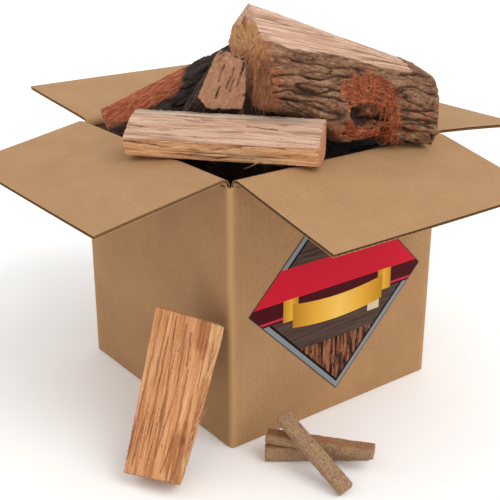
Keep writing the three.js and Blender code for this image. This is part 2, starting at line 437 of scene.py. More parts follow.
# %% Flap profile
def fluted_sheet(place, length, rings, crushed):
    """Board from place(u, s, w): u along the crease, s out from it, one of rings, w up from
    the middle layer. crushed(s) is the share of the thickness left."""
    lists = BoardLists()
    us = list(np.linspace(-length / 2, length / 2, 26))
    for top, under, outside in ((BOARD / 2, BOARD / 2 - LINER, 0.0),
                                (-BOARD / 2 + LINER, -BOARD / 2, 1.0)):
        lists.shell([[place(u, s, top * crushed(s)) for u in us] for s in rings],
                    [[place(u, s, under * crushed(s)) for u in us] for s in rings],
                    us, outside=outside)
    waves = round(length / FLUTE)
    us = list(np.linspace(-length / 2, length / 2, waves * 8 + 1))
    arches = [ARCH * math.sin(u / length * waves * 2 * math.pi) for u in us]
    for_side = [[[place(u, s, (arch + thin) * crushed(s)) for u, arch in zip(us, arches)]
                 for s in rings] for thin in (LINER * 0.35, -LINER * 0.35)]
    lists.shell(for_side[0], for_side[1], us, medium=1.0)
    return lists


def flap_frame(node, joint):
    """The crease point, and the directions along the crease, out along the flap and up."""
    mesh = frame["nodes"][node].data
    largest = max((p for p in mesh.polygons if p.normal.z > 0.5), key=lambda p: p.area)
    up = largest.normal.copy()
    along = Vector(joint["axis"]).normalized()
    out = along.cross(up)
    crease = Vector(joint["pos_m"])
    if out.dot(crease - carton_middle) < 0:
        out.negate()
    return crease, along, out, up


joints = {joint["child"]: joint for joint in frame["joints"]}
for node, joint in joints.items():
    tilt = math.degrees(math.asin(flap_frame(node, joint)[2].z))
    print(node, "tilts", round(tilt, 1), "degrees")


# %% Flaps
FOLD_DROP = 5.5 * MM      # the fold starts this far under the crease
FOLD_REACH = 7 * MM       # and has settled into the flap this far out


def flap_board(node, seed):
    crease, along, out, up = flap_frame(node, joints[node])
    level = Vector((out.x, out.y, 0)).normalized()
    corners = [v.co - crease for v in frame["nodes"][node].data.vertices]
    reach = max(c.dot(out) for c in corners)
    length = 2 * max(abs(c.dot(along)) for c in corners)
    lift = min(c.dot(up) for c in corners) + BOARD / 2
    wall_middle = HALF - BOARD / 2 - (crease - carton_middle).dot(level)
    foot = crease + level * wall_middle - Vector((0, 0, FOLD_DROP))
    landing = crease + out * FOLD_REACH + up * lift
    # The bend's control point is where the wall line meets the flap line.
    climb = (foot - landing).dot(level) / out.dot(level)
    knee = landing + out * climb
    wobble = random.Random(seed)
    sags = [(wobble.uniform(0.2, 0.7) * MM, wobble.uniform(0.6, 1.4), wobble.uniform(0, 6))
            for _ in range(3)]

    def place(u, s, w):
        if s <= 0:                                   # up the wall
            return foot + Vector((0, 0, s)) + along * u - level * w
        if s < 1:                                    # over the fold
            middle = foot * (1 - s) ** 2 + knee * 2 * s * (1 - s) + landing * s * s
            run = (knee - foot) * (1 - s) + (landing - knee) * s
            side = along.cross(run).normalized()
            side = side if side.dot(up - level) > 0 else -side
            return middle + along * u + side * w
        share = (s - 1) / (reach - FOLD_REACH)       # out along the flap
        sag = sum(size * math.sin(rate * math.pi * (u / length + share) + start)
                  for size, rate, start in sags) * share * (1 - 0.4 * share)
        return landing + along * u + out * (s - 1) + up * (w + sag)

    rings = [-1.2 * MM, 0] + [i / 8 for i in range(1, 8)]
    rings += [1 + (reach - FOLD_REACH) * i / 14 for i in range(15)]

    def crushed(s):
        return 0.78 if 0.2 < s < 0.8 else 1.0

    board = fluted_sheet(place, length, rings, crushed).piece("board_" + node, kraft)
    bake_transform(board)
    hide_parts(node)
    return board


for seed, node in enumerate(joints):
    board = flap_board(node, seed + 2)
    print(board.name, len(board.data.polygons), "faces")

# %% [markdown]
# ## Carton bottom
# The bottom is closed by four flaps of the same board: the long pair meets at a seam under
# the carton, and the short pair lies on it inside. They are flat, so each is a fluted sheet
# between the corners of its solid.


# %% Bottom flaps
def bottom_board(node, seam_along_x):
    low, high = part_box(node)
    middle = (low + high) / 2
    along, out = (Vector((1, 0, 0)), Vector((0, 1, 0)))
    if not seam_along_x:
        along, out = out, along
    size = high - low
    length, width = abs(size.dot(along)), abs(size.dot(out))

    def place(u, s, w):
        return middle + along * u + out * s + Vector((0, 0, w))

    rings = list(np.linspace(-width / 2, width / 2, 8))
    board = fluted_sheet(place, length, rings, lambda s: 1.0).piece("board_" + node, kraft)
    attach(board, "root")
    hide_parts(node)


for node in ("bottom_flap_front", "bottom_flap_back"):
    bottom_board(node, True)
for node in ("bottom_flap_left", "bottom_flap_right"):
    bottom_board(node, False)
print("bottom flaps made")

# %% [markdown]
# ## Printed label
# A glossy paper diamond is stuck on the wall that faces the label side. It has a grey border
# with a thin black line, a crimson band over a dark maroon one, a gold ribbon across the
# middle with a blank cream tag under it, and below them dark wood grain. It carries no words. The sheet is
# a closed thin mesh, and its print is worked out in the finish from the place on the sheet,
# in millimetres across and up from its middle.

# %% Label print
LABEL_TIP = 133.0     # mm from the middle to a corner of the diamond


def printed_paper(name):
    """Coated label paper, printed: smooth flat colours with hardly any shine."""
    material, tree, shader = new_material(name)
    place = add(tree, "ShaderNodeAttribute", {"attribute_name": "label_place"})
    across, up, _ = add(tree, "ShaderNodeSeparateXYZ", inputs={0: place.outputs["Vector"]}).outputs

    def between(value, low, high):
        """1 where value lies between low and high, 0 elsewhere."""
        above = add(tree, "ShaderNodeMath", {"operation": "GREATER_THAN"}, {0: value, 1: low})
        under = add(tree, "ShaderNodeMath", {"operation": "LESS_THAN"}, {0: value, 1: high})
        return add(tree, "ShaderNodeMath", {"operation": "MULTIPLY"}, {
            0: above.outputs[0], 1: under.outputs[0]}).outputs[0]

    side = add(tree, "ShaderNodeMath", {"operation": "ABSOLUTE"}, {0: across}).outputs[0]
    rise = add(tree, "ShaderNodeMath", {"operation": "ABSOLUTE"}, {0: up}).outputs[0]
    out = add(tree, "ShaderNodeMath", {"operation": "ADD"}, {0: side, 1: rise}).outputs[0]
    # The ribbon hangs in a shallow curve, so its height is measured from that curve.
    bow = add(tree, "ShaderNodeMath", {"operation": "MULTIPLY"}, {0: side, 1: side}).outputs[0]
    hang = add(tree, "ShaderNodeMath", {"operation": "MULTIPLY_ADD"},
               {0: bow, 1: -1 / 800, 2: up}).outputs[0]
    along_tail = add(tree, "ShaderNodeMath", {"operation": "MULTIPLY_ADD"},
                     {0: side, 1: 1 / 22, 2: -62 / 22}).outputs[0]
    along_ribbon = add(tree, "ShaderNodeMath", {"operation": "MULTIPLY"},
                       {0: side, 1: 1 / 70}).outputs[0]
    # Wood grain in dark flame-like streaks below, and level boards behind the bands.
    grains = []
    for stretch, settings in (((1 / 5, 1 / 32, 1), {"Detail": 4.0, "Roughness": 0.65,
                                                   "Distortion": 0.6}),
                              ((1 / 60, 1 / 3, 1), {"Detail": 3.0})):
        mapped = add(tree, "ShaderNodeMapping", inputs={
            "Vector": place.outputs["Vector"], "Scale": stretch})
        grains.append(add(tree, "ShaderNodeTexNoise", inputs={
            "Vector": mapped.outputs[0], "Scale": 1.0, **settings}).outputs["Fac"])
    streaks, planks = grains
    flames, boards, tail, ribbon = [
        add(tree, "ShaderNodeValToRGB", {"ramp": stops}, {"Fac": value}).outputs[0]
        for stops, value in (
            ([(0.36, "120b0b"), (0.46, "3a201a"), (0.54, "7a4a30"), (0.62, "a06a48"),
              (0.70, "6d2430")], streaks),
            ([(0.3, "3a2a25"), (0.7, "5a453c")], planks),
            ([(0.0, "b07a1c"), (0.5, "dda63a"), (1.0, "b9821f")], along_tail),
            ([(0.0, "edbf5c"), (0.55, "dca236"), (1.0, "b27b1d")], along_ribbon))]
    # What is printed where, in mm: the later ones lie on top.
    stripes = [(up, -200, -62, flames), (out, 119.5, 123.5, paint("060606")),
               (out, 123.5, 200, paint("7f8488")), (up, 5.5, 44, paint("c4172e")),
               (up, -19, 5.5, paint("44030c")), (up, -16.5, -13.5, paint("b82a45")),
               (out, 131.6, 200, paint("2a2a2c"))]
    coats = [(between(value, low, high), None, 1.0, ink) for value, low, high, ink in stripes]
    coats += [(between(across, 47, 66), None, between(up, -43, -22), paint("cdb896")),
              (between(side, 62, 84), None, between(up, -21, 6), tail),
              (between(side, -1, 70), None, between(hang, -37, -7.5), ribbon)]
    tree.links.new(painted(tree, boards, coats), shader.inputs["Base Color"])
    shader.inputs["Roughness"].default_value = 0.55
    shader.inputs["Specular IOR Level"].default_value = 0.08
    return material


label_print = printed_paper("coated_printed_label_paper")
print("made", label_print.name)


# %% Label sheet
def label_sheet():
    low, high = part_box("label")
    middle = (low + high) / 2
    reach = (high.x - low.x) / 2
    count = 44
    front, back, places = [], [], []
    chance = random.Random(8)
    waves = [(chance.uniform(0.5, 2.5), chance.uniform(0.5, 2.5), chance.uniform(0, 6))
             for _ in range(4)]
    for r in range(count + 1):
        front.append([])
        back.append([])
        for c in range(count + 1):
            a, b = 2 * r / count - 1, 2 * c / count - 1
            across, up = (a - b) / 2, (a + b) / 2
            ripple = sum(math.sin(m * across * 3 + n * up * 3 + k) for m, n, k in waves) / 4
            lift = 0.08 * MM * (1 + ripple) * (1 - max(abs(a), abs(b)) ** 6)
            at = Vector((middle.x + across * reach, 0, middle.z + up * reach))
            front[-1].append(Vector((at.x, high.y - 0.25 * MM - lift, at.z)))
            back[-1].append(Vector((at.x, high.y, at.z)))
            places.append((across * LABEL_TIP, up * LABEL_TIP, 0))
    lists = BoardLists()
    lists.shell(front, back, [0.0] * (count + 1))
    piece = finish_mesh("printed_label", lists.vertices, lists.faces, label_print)
    store(piece, "label_place", places + places, "FLOAT_VECTOR")
    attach(piece, "root")
    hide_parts("label")
    return piece


label = label_sheet()
print("label:", len(label.data.polygons), "faces")

# %% [markdown]
# ## Split wood
# A split log has three kinds of surface. The faces left by the maul follow the grain: long
# shallow ridges, hairline checks and torn fibres, all running lengthwise. The ends are sawn
# across, so they show rings, rays and drying checks. The outside carries bark, broken into
# long plates by deep cracks. All three are cut into the mesh itself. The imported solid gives
# the log's true size, a voxel remesh turns it into an even net of small quads, and then every
# vertex is pushed in or out by patterns worked out in millimetres along and across the grain.
# The patterns also leave their shares on the vertices, for the finish to paint.


# %% Smooth random values and soft steps
def wander(points, size, seed):
    """Gradient noise from about -1 to 1 at points (N, 3) in mm. size is the length of one
    bump in mm along each axis."""
    scaled = points / np.asarray(size, float) + seed * 7.31
    cell = np.floor(scaled).astype(np.int64)
    inside = scaled - cell
    fade = inside ** 3 * (inside * (inside * 6 - 15) + 10)
    total = np.zeros(len(points))
    for corner in itertools.product((0, 1), repeat=3):
        at = cell + corner
        mixed = at[:, 0] * 73856093 ^ at[:, 1] * 19349663 ^ at[:, 2] * 83492791 ^ seed * 2971
        mixed = (mixed ^ mixed >> 13) * 1274126177 & 0x7FFFFFFF
        gradient = np.stack([(mixed >> shift & 511) / 255.5 - 1 for shift in (4, 12, 20)], 1)
        share = np.prod(np.where(corner, fade, 1 - fade), axis=1)
        total += share * np.einsum("ij,ij->i", gradient, inside - corner)
    return total * 1.5


def soft_step(values, low, high):
    """0 at low, 1 at high, smooth between them. high may be the lower one."""
    t = np.clip((values - low) / (high - low), 0, 1)
    return t * t * (3 - 2 * t)


def bump_at(points, centre, reach):
    """1 at a centre, falling to 0 over reach (mm along each axis)."""
    apart = np.sqrt((((points - np.asarray(centre, float)) / reach) ** 2).sum(1))
    return soft_step(apart, 1.0, 0.35)


def slit(points, axes, path, width=1.7, seed=1):
    """1 along a crack and 0 beyond width (mm) from it. path holds places on the two axes."""
    flat = points[:, axes] + 1.1 * np.stack(
        [wander(points, (11, 11, 11), seed), wander(points, (11, 11, 11), seed + 1)], 1)
    apart = np.full(len(points), np.inf)
    for start, end in zip(path, path[1:]):
        a, along = np.array(start, float), np.array(end, float) - start
        t = np.clip((flat - a) @ along / (along @ along), 0, 1)
        apart = np.minimum(apart, np.linalg.norm(flat - a - t[:, None] * along, axis=1))
    return soft_step(apart, width, 0.3 * width)


def slits(points, axes, paths, width=1.7, seed=1):
    return np.max([slit(points, axes, path, width, seed) for path in paths], axis=0)


test_points = np.random.default_rng(1).uniform(0, 90, (2000, 3))
print("noise runs from", wander(test_points, (9, 9, 9), 1).min().round(2),
      "to", wander(test_points, (9, 9, 9), 1).max().round(2))


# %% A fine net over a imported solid, in the log's own directions
class Log:
    """A remeshed solid with its points in mm along (x), across (y) and up (z) its own grain,
    measured from the solid's lowest corner in those directions."""

    def __init__(self, node, yaw, pitch=0.0, roll=0.0, net=2.0):
        self.node = node
        angles = [math.radians(a) for a in (roll, -pitch, yaw)]
        self.turn = np.array(Euler(angles, "XYZ").to_matrix())
        source = frame["nodes"][node]
        corners = np.array([v.co for v in source.data.vertices]) / MM @ self.turn
        self.low = corners.min(0)
        self.size = corners.max(0) - self.low
        facets = {}
        for polygon in source.data.polygons:
            normal = np.array(polygon.normal) @ self.turn
            offset = normal @ (np.array(polygon.center) / MM @ self.turn - self.low)
            facets[tuple(np.round(normal, 2))] = (normal, offset)
        self.normals = np.array([f[0] for f in facets.values()])
        self.offsets = np.array([f[1] for f in facets.values()])
        scratch = bpy.data.objects.new("scratch", source.data.copy())
        scene.collection.objects.link(scratch)
        remesh = scratch.modifiers.new("net", "REMESH")
        remesh.mode = "VOXEL"
        remesh.voxel_size = net * MM
        graph = bpy.context.evaluated_depsgraph_get()
        self.mesh = bpy.data.meshes.new_from_object(scratch.evaluated_get(graph))
        bpy.data.objects.remove(scratch)
        count = len(self.mesh.vertices)
        flat = np.empty(count * 3)
        self.mesh.vertices.foreach_get("co", flat)
        self.points = flat.reshape(-1, 3) / MM @ self.turn - self.low
        self.mesh.vertex_normals.foreach_get("vector", flat_normals := np.empty(count * 3))
        self.out = flat_normals.reshape(-1, 3) @ self.turn
        self.move = np.zeros((count, 3))
        self.shares = {name: np.zeros(count) for name in
                       ("bark", "sawn", "warm", "grey", "torn", "crack")}

    def facet_normals(self, jitter=0.0, seed=1):
        """The normal of the flat face nearest each vertex. jitter (mm) frays the borders."""
        points = self.points
        if jitter:
            shift = [wander(points, (9, 4, 4), seed + i) for i in range(3)]
            points = points + jitter * np.stack(shift, 1)
        nearest = np.argmax(points @ self.normals.T - self.offsets, axis=1)
        return self.normals[nearest]

    def edge_distance(self):
        """How far, in mm, each vertex is from the nearest edge of the solid."""
        depth = np.sort(points_to_faces(self), axis=1)
        return -depth[:, -2]

    def push(self, relief):
        """Moves every vertex out by relief, in mm; negative is inwards."""
        self.move += self.out * relief[:, None]

    def build(self, name, material):
        placed = (self.points + self.low + self.move) @ self.turn.T * MM
        self.mesh.vertices.foreach_set("co", placed.ravel())
        self.mesh.materials.clear()
        self.mesh.materials.append(material)
        self.mesh.shade_smooth()
        piece = bpy.data.objects.new(name, self.mesh)
        scene.collection.objects.link(piece)
        store(piece, "grain_place", self.points, "FLOAT_VECTOR")
        for share, values in self.shares.items():
            store(piece, share, np.clip(values, 0, 1))
        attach(piece, "root")
        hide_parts(self.node)
        print(name, len(self.mesh.polygons), "faces,", [round(s) for s in self.size], "mm")
        return piece

    def world(self, point):
        """A point of the log's own, in mm, as a place in the frame."""
        return Vector((np.asarray(point, float) + self.low) @ self.turn.T * MM)


def points_to_faces(log):
    return log.points @ log.normals.T - log.offsets


def sawn_faces(facing):
    """1 on the faces that look along the grain, which the saw made, and 0 on the others."""
    return (np.abs(facing[:, 0]) > 0.5).astype(float)


# %% [markdown]
# The three reliefs come next. On a split face, broad waves, narrower ridges and hair-fine
# ones lie over each other, and checks open where two slow patterns agree. Bark cracks follow
# the zero lines of a warped noise, which gives long closed plates, with smaller cracks inside
# them. A sawn end is nearly flat, with checks that run out from the heart.


# %% The three reliefs
def split_relief(log, seed, deep=1.0, spacing=7.0):
    """Split faces: ridges and checks along the grain. Returns relief in mm and check share."""
    p = log.points
    bend = 2.5 * wander(p, (80, 60, 60), seed + 9)
    q = p + np.stack([np.zeros(len(p)), bend, bend], 1)
    broad = wander(q, (130, 14, 14), seed)
    ridge = wander(q, (70, 4.5, 4.5), seed + 1)
    hair = wander(q, (40, 2.2, 2.2), seed + 2)
    line = np.abs(wander(q, (260, spacing, spacing), seed + 3))
    here = soft_step(wander(q, (120, 10, 10), seed + 4), -0.25, 0.2)
    check = soft_step(line, 0.10, 0.0) * here
    relief = 0.7 * (broad - 0.6) + 0.35 * (ridge - 0.6) + 0.22 * (hair - 0.5)
    return relief - 1.1 * deep * check, check


def bark_relief(log, seed, deep=1.0, plate=(62, 11, 11)):
    """Bark: scaly plates in steps, between deep lengthwise cracks. Returns relief in mm and
    how deep in a crack."""
    p = log.points
    warp = np.stack([wander(p, (26, 13, 13), seed + 5 + i) for i in range(3)], 1)
    q = p + warp * (10, 3.2, 3.2)
    crack = soft_step(np.abs(wander(q, plate, seed)), 0.11, 0.015)
    crack *= soft_step(wander(p, (40, 30, 30), seed + 2), -0.55, -0.05)
    small = np.abs(wander(q, (24, 5, 5), seed + 1))
    minor = soft_step(small, 0.10, 0.01) * soft_step(wander(p, (26, 16, 16), seed + 4), -0.2, 0.3)
    steps = 3.2 * (wander(q, (42, 12, 12), seed + 3) + 0.35 * wander(q, (16, 5, 5), seed + 9))
    ledge = np.floor(steps) + soft_step(steps - np.floor(steps), 0.72, 1.0)
    rim = soft_step(np.abs(steps - np.floor(steps) - 0.84), 0.16, 0.0)
    flake = 0.8 * wander(q, (9, 3, 3), seed + 10) + 0.6 * wander(q, (4, 2.2, 2.2), seed + 11)
    relief = 0.95 * (ledge - 0.6) + 0.75 * (flake - 0.4) - 3.6 * deep * crack - 1.5 * deep * minor
    return relief, np.clip(crack + 0.6 * minor + 0.32 * rim, 0, 1)


def sawn_relief(log, seed, heart, check_width=5.0):
    """Sawn ends: drying checks that run out from the heart (across, up) in mm."""
    p = log.points
    y, z = p[:, 1] - heart[0], p[:, 2] - heart[1]
    far = np.hypot(y, z)
    angle = np.arctan2(z, y)
    polar = np.stack([angle * 60, far, np.zeros(len(p))], 1)
    rays = np.abs(wander(polar, (check_width, 70, 9), seed))
    here = soft_step(wander(polar, (9, 26, 9), seed + 1), 0.0, 0.3)
    check = soft_step(rays, 0.11, 0.02) * here
    saw = wander(p, (9, 30, 1.8), seed + 2)
    return 0.12 * (saw - 1) - 1.3 * check, check


def weathered_edges(log, seed, worn=1.0):
    """Frays the solid's crisp edges: bites out of them, longer along the grain."""
    near = soft_step(log.edge_distance(), 2.2, 0.0)
    bite = 0.5 + 0.5 * wander(log.points, (15, 4, 4), seed) + 0.4 * wander(
        log.points, (5, 2.5, 2.5), seed + 1)
    return -worn * near * np.clip(bite, 0, 1.2)


print("reliefs ready")

# %% [markdown]
# The finish paints what the mesh already has. Red oak is pale pinkish tan where it is freshly
# split, with thin brown lines along the grain, orange-tan on faces that follow the rays, and
# silvery grey where it has weathered. The sawn ends are duller and rosier. Oak bark is grey
# brown with olive and rust patches and nearly black in its cracks, and the torn inner bark is
# a fibrous orange red. None of it shines.


# %% Oak, as split, sawn, barked and torn
def oak_finish(name, fresh, warm, sawn, bark, torn, grey, line="5d3a26", rust="8f5238"):
    """Split red oak, a dull fibrous wood, painted by the shares kept on the mesh. fresh, warm,
    sawn, bark, torn and grey are ramps of (place, paint code)."""
    material, tree, shader = new_material(name)
    share = {key: add(tree, "ShaderNodeAttribute", {"attribute_name": key}).outputs["Fac"]
             for key in ("bark", "sawn", "warm", "grey", "torn", "crack")}
    place = add(tree, "ShaderNodeAttribute", {"attribute_name": "grain_place"})
    place = place.outputs["Vector"]

    def pattern(length, width, detail, seed, rough=0.6):
        """Noise stretched along the grain: its length and width are in mm."""
        stretch = add(tree, "ShaderNodeMapping", inputs={
            "Vector": place, "Scale": (1 / length, 1 / width, 1 / width),
            "Location": (seed, seed * 2.0, seed * 3.0)})
        return add(tree, "ShaderNodeTexNoise", inputs={
            "Vector": stretch.outputs[0], "Scale": 1.0, "Detail": detail,
            "Roughness": rough}).outputs["Fac"]

    streak = pattern(85, 4.2, 4, 1)
    hair = pattern(38, 1.1, 3, 5, 0.75)
    flake = pattern(7, 2.4, 4, 29, 0.7)
    fresh_face, warm_face, grey_face, rings, saw_marks, patches, flakes, fibres = [
        add(tree, "ShaderNodeValToRGB", {"ramp": stops}, {"Fac": value}).outputs[0]
        for stops, value in (
            (fresh, streak), (warm, streak), (grey, streak), (sawn, pattern(900, 3.2, 2, 3)),
            (sawn, pattern(9, 9, 3, 17)), (bark, pattern(26, 15, 3, 25)), (bark, flake),
            (torn, pattern(10, 1.8, 3, 37, 0.7)))]
    split_face = painted(tree, fresh_face, [
        (share["warm"], None, 1.0, warm_face),
        (hair, (0.50, 0.32), 0.45, paint(line)),
        (hair, (0.56, 0.68), 0.35, paint("ecd3bc")),
        (pattern(170, 2.4, 2, 13), (0.405, 0.36), 0.65, paint(line)),
        (pattern(8, 2.0, 2, 21), (0.67, 0.71), 0.75, paint("7d4630")),
        (pattern(60, 22, 2, 9), (0.25, 0.50), share["grey"], grey_face)])
    sawn_end = painted(tree, rings, [(0.35, None, 1.0, saw_marks)])
    barked = painted(tree, patches, [
        (0.65, None, 1.0, flakes), (pattern(17, 10, 3, 33), (0.54, 0.68), 0.6, paint(rust))])
    # The crack coats darken cracks and checks, and also paint shade: the wound's holes and cavity on the bark
    # quarter, and the sawn-end split's sides.
    skin = painted(tree, split_face, [
        (share["sawn"], None, 1.0, sawn_end), (share["bark"], None, 1.0, barked),
        (share["torn"], None, 1.0, fibres),
        (share["crack"], (0.0, 0.6), 0.7, paint(line)),
        (share["crack"], (0.35, 1.0), 0.9, paint("180f0a"))])
    tree.links.new(skin, shader.inputs["Base Color"])
    shader.inputs["Roughness"].default_value = 0.78
    shader.inputs["Specular IOR Level"].default_value = 0.28

    rough_bark = add(tree, "ShaderNodeMath", {"operation": "MULTIPLY_ADD"},
                     {0: flake, 1: share["bark"], 2: hair}).outputs[0]
    bump = add(tree, "ShaderNodeBump", inputs={
        "Strength": 0.55, "Distance": 0.9 * MM, "Height": rough_bark})
    tree.links.new(bump.outputs["Normal"], shader.inputs["Normal"])
    return material


SAWN_STOPS = [(0.3, "8a614a"), (0.5, "a57658"), (0.7, "ba8c6e")]
BARK_STOPS = [(0.28, "1f120d"), (0.39, "513122"), (0.50, "7f5740"), (0.60, "8f714f"),
              (0.72, "c4a684")]
TORN_STOPS = [(0.25, "3d1a0e"), (0.42, "7e3a1f"), (0.56, "a85631"), (0.75, "d08352")]
FRESH_STOPS = [(0.28, "9b7159"), (0.45, "bf977d"), (0.6, "cfab94"), (0.75, "dbbba5")]
WARM_STOPS = [(0.28, "b97d50"), (0.45, "dfa675"), (0.6, "eaba8c"), (0.75, "f0caa2")]
GREY_STOPS = [(0.3, "887766"), (0.5, "af9b88"), (0.7, "c9b6a1")]
fresh_oak = oak_finish("freshly_split_red_oak", FRESH_STOPS, WARM_STOPS, SAWN_STOPS,
                       BARK_STOPS, TORN_STOPS, GREY_STOPS)
quarter_oak = oak_finish("bark_quarter_of_red_oak", FRESH_STOPS, WARM_STOPS,
                         [(0.3, "7a4724"), (0.5, "ad7746"), (0.7, "d3a36b")], BARK_STOPS,
                         [(0.25, "3d1a0e"), (0.40, "7e3a1f"), (0.54, "b25c35"),
                          (0.66, "d4834f"), (0.78, "eba774")], GREY_STOPS)
# The heap inside the carton: the same oak painted much darker, as painted shade.
shaded_heap_oak = oak_finish("oak_darkened_by_painted_shade",
                      [(0.28, "3a271b"), (0.45, "553a28"), (0.6, "6b4b35"), (0.75, "7d5a41")],
                      [(0.28, "35210f"), (0.45, "4c3220"), (0.6, "60412b"), (0.75, "6f4d35")],
                      [(0.3, "2a1c14"), (0.5, "38261b"), (0.7, "453025")],
                      [(0.25, "17110e"), (0.5, "2b211b"), (0.8, "40342a")], TORN_STOPS,
                      GREY_STOPS, line="20140d", rust="4a2f24")
ray_oak = oak_finish("orange_ray_split_red_oak",
                     [(0.28, "a8673e"), (0.45, "c98b5b"), (0.6, "d69b69"), (0.75, "e2ae80")],
                     [(0.28, "7c4526"), (0.45, "a26537"), (0.6, "b87a48"), (0.75, "cb9160")],
                     SAWN_STOPS, BARK_STOPS, TORN_STOPS,
                     [(0.3, "b98a58"), (0.5, "dcb57f"), (0.7, "ecd0a0")], line="7a4324")
print("made", fresh_oak.name, "and", ray_oak.name)


# %% [markdown]
# ## The split across the near corner
# This one lies on the front and left creases. Its top is freshly split and pale, greyed by weather along the far
# side, and its front follows the rays, so it is warmer. Dark checks are laid one by one along both: three long
# ones in front and six on top.

# %% Split across the corner
log = Log("split_across_corner", -50.3, net=1.15)
facing = log.facet_normals(0.8)
sawn = sawn_faces(facing)
relief, check = split_relief(log, 11, spacing=6.0)
end, end_check = sawn_relief(log, 12, (60, -10))
front = (facing[:, 2] < 0.6) * (1 - sawn)
long_checks = np.where(front > 0, slits(log.points, (0, 2), (
    ((3, 18), (33, 15), (90, 11), (132, 19)), ((60, 6), (103, 4), (145, 9), (184, 9)),
    ((96, 20), (150, 21), (180, 19))), 1.5, 15), slits(log.points, (0, 1), (
        ((1, 20), (29, 16), (52, 18), (72, 17)), ((104, 17), (131, 16)),
        ((42, 34), (80, 28)), ((120, 31), (176, 29)), ((20, 9), (90, 8)),
        ((134, 24), (168, 22))), 1.3, 17))
chips = np.maximum(bump_at(log.points, (88, 33, 41), (11, 6, 9)),
                   bump_at(log.points, (174, 29, 40), (9, 5, 9)))
chips = soft_step(chips + 0.7 * wander(log.points, (6, 3, 3), 19), 0.45, 0.7)
long_checks = long_checks * (0.45 + 0.8 * wander(log.points, (26, 7, 7), 20))
check = np.maximum(0.35 * check, 0.8 * np.clip(long_checks, 0, 1))
log.push(np.where(sawn > 0, end, relief) - 0.7 * long_checks + weathered_edges(log, 13, 1.0))
log.shares["sawn"] = sawn * 0.15
log.shares["torn"] = np.maximum(0.35 * chips * (1 - front), 0.45 * sawn)
log.shares["crack"] = np.where(sawn > 0, end_check, check)
log.shares["warm"] = np.clip(front * 0.95 + sawn, 0, 1)
log.shares["grey"] = soft_step(log.points[:, 1] + 4 * wander(log.points, (50, 9, 9), 14), 33, 44)
log.build("oak_split_across_corner", fresh_oak)
across_log = log

# %% [markdown]
# ## The bark quarter
# The big piece is a quarter of a log: bark outside, and pale split wood above and behind. A branch was torn off
# it, which left a fibrous orange hollow low on the right, and its left end has a strip where the bark was pulled
# away. The border between bark and wood is ragged, so it is moved by noise, and the bark stands a little proud of
# the wood. Under its middle the bark sags well below the imported solid, and long cracks are listed between the
# plates.

# %% Bark quarter
log = Log("split_bark_quarter", -17.2, -14.0, net=1.25)
p = log.points
facing = log.facet_normals(1.0)
sawn = sawn_faces(facing)
border = np.interp(p[:, 0], (0, 30, 60, 90, 112, 138, 150, 186, 200),
                   (54, 44, 46, 49, 47, 41, 36, 40, 150))
border = border + 1.6 * wander(p, (16, 9, 9), 21)
underside = soft_step(p[:, 2], 22, 14)
border = border + underside * 18
bark = soft_step(p[:, 1] - border, 1.2, -1.2) * (1 - sawn)
grain, check = split_relief(log, 22, spacing=6.0)
plates, furrow = bark_relief(log, 23)
end, end_check = sawn_relief(log, 24, (70, 60))
cracks = slits(p, (0, 2), (
    ((4, 41), (34, 49), (63, 47), (83, 54), (107, 57)),
    ((8, 20), (23, 22), (50, 21), (72, 19), (98, 20)),
    ((161, 53), (183, 59), (200, 55), (210, 55)), ((162, 32), (187, 34), (210, 38)),
    ((6, 60), (30, 63), (52, 60), (74, 62)), ((16, 33), (40, 35), (58, 33)),
    ((170, 19), (190, 21), (208, 20)), ((172, 70), (210, 72))), 2.0, 35)
cracks = cracks * (0.75 + 0.5 * wander(p, (14, 9, 9), 36)) * (p[:, 1] < 40)
ragged = 0.28 * wander(p, (12, 8, 8), 25) + 0.22 * wander(p, (5, 4, 4), 26)
wound = np.zeros(len(p))
for centre, reach in (((128, 10, 39), (34, 60, 24)), ((112, 10, 13), (13, 60, 7)),
                      ((154, 12, 20), (15, 60, 14)), ((134, 12, 4), (24, 60, 11))):
    apart = np.sqrt((((p - np.asarray(centre, float)) / reach) ** 2).sum(1))
    wound = np.maximum(wound, soft_step(apart + ragged, 1.05, 0.85))
wound = wound * bark
peeled = soft_step(p[:, 0] + 4 * wander(p, (9, 9, 12), 27), 15, 8) * (p[:, 1] < 60)
# Deep holes in the wound: pushed 7 mm in and painted nearly black, which is painted shade.
shaded_hollows = np.zeros(len(p))
for centre, reach in (((122, 6, 17), (14, 30, 5.5)), ((142, 6, 20), (14, 30, 4)),
                      ((151, 12, 8), (8, 30, 8)), ((110, 5, 22), (9, 30, 7))):
    shaded_hollows = np.maximum(shaded_hollows, bump_at(p, centre, reach))
shaded_hollows = soft_step(shaded_hollows + 0.5 * wander(p, (8, 5, 5), 28), 0.25, 0.6) * bark
fibres = 1.7 * wander(p, (9, 3, 3), 29) + 1.1 * wander(p, (4, 2.2, 2.2), 30)
swell = 3.0 * bump_at(p, (129, 10, 45), (36, 60, 26))
